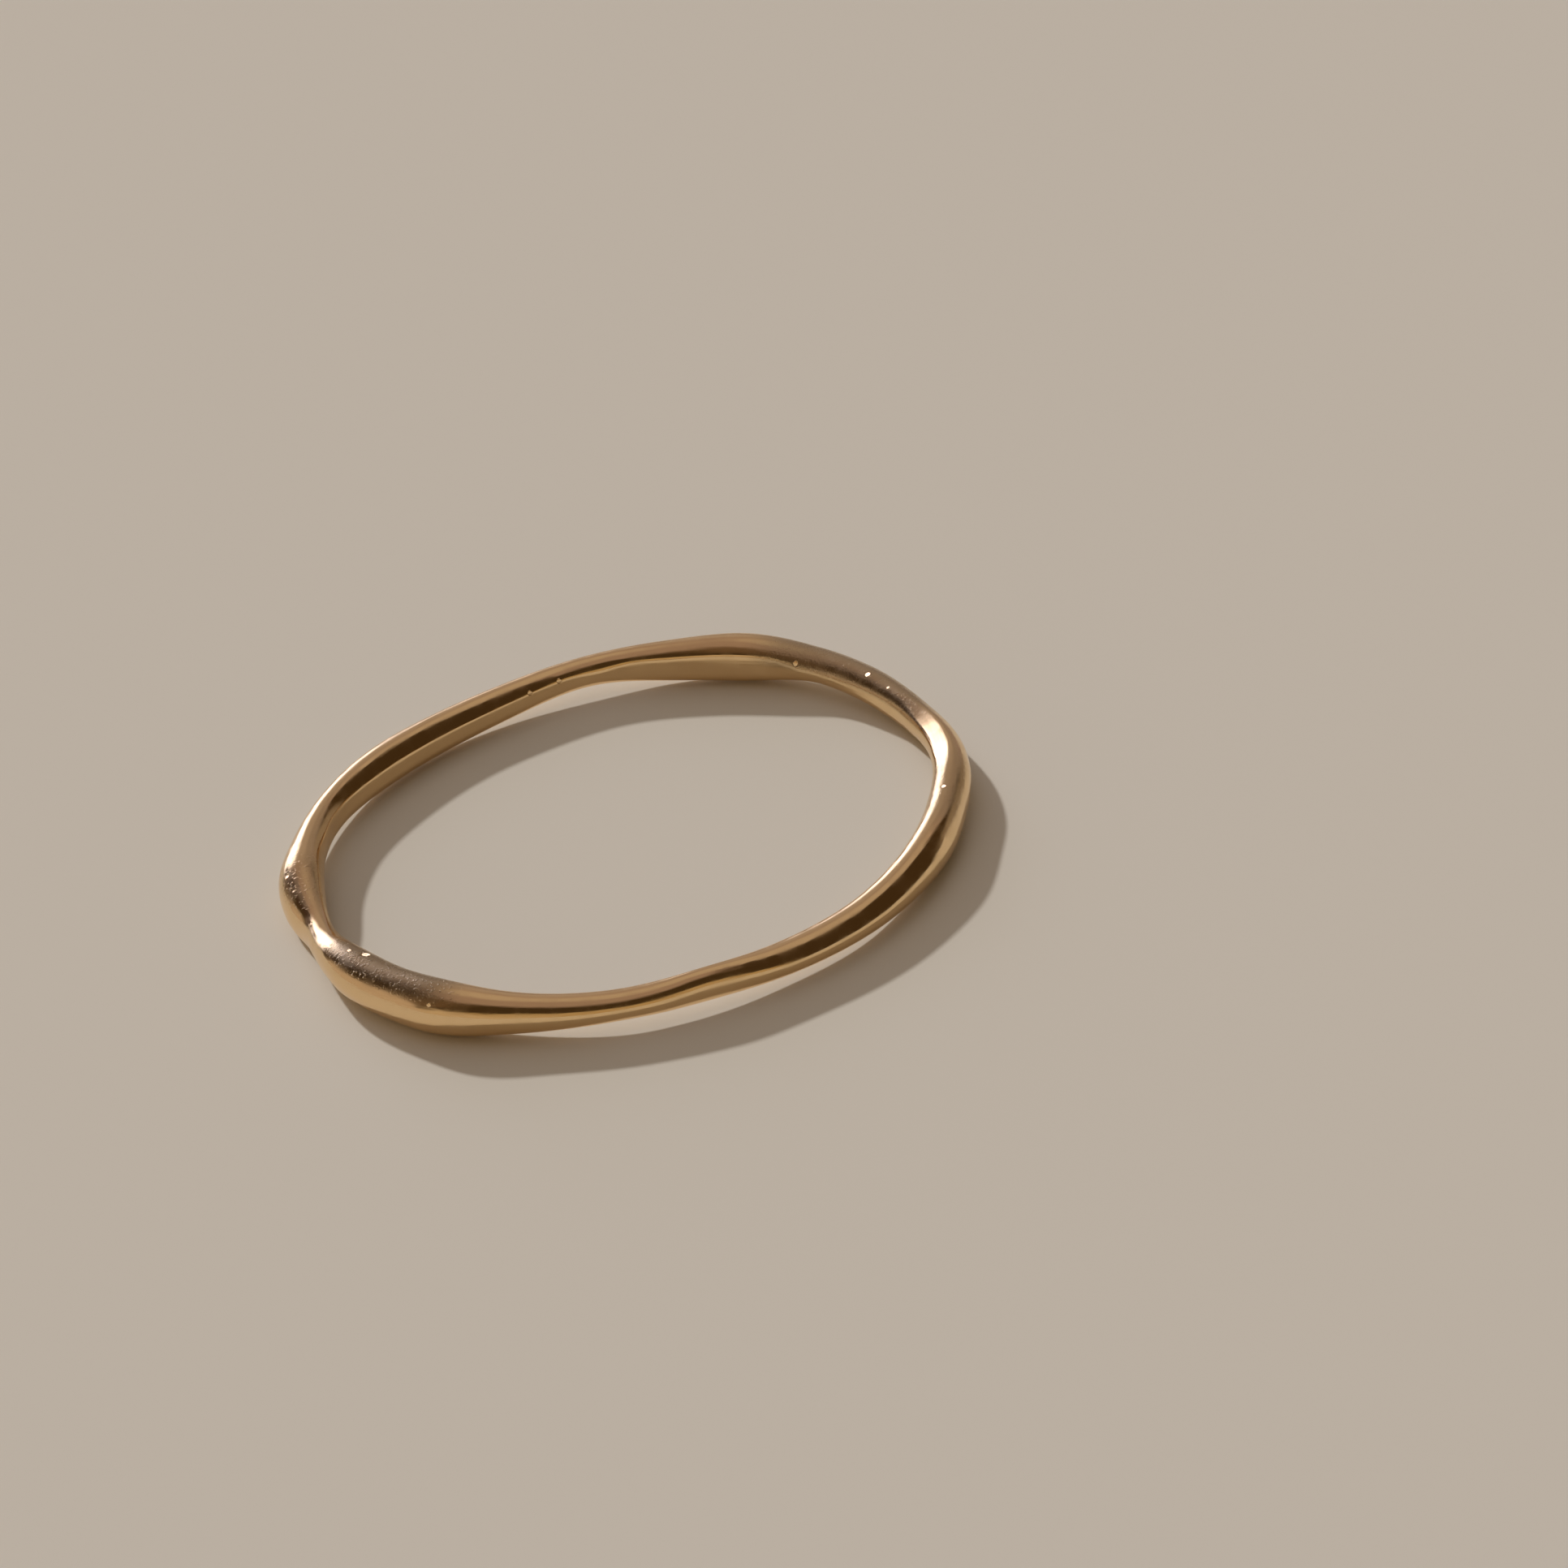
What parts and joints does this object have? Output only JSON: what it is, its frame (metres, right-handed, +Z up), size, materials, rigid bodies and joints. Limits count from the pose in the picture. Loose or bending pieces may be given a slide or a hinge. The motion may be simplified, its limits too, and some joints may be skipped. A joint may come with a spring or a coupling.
{
  "type": "stackable ring",
  "caption": "Thin plain finger ring with an uneven, softly knuckled band, cast in one piece; it stacks with others like it on one finger.",
  "frame": {"origin": "middle of the ring's box in plan, on the floor that the ring lies on", "axes": "+Z up, through the finger hole; +X and +Y in the ring's plane, with the thickest knuckles at about 230 degrees anticlockwise from +X"},
  "size_m": [0.0196, 0.0194, 0.0016],
  "materials": {
    "gold": null
  },
  "bodies": {
    "root": {"band": "gold"}
  },
  "joints": []
}
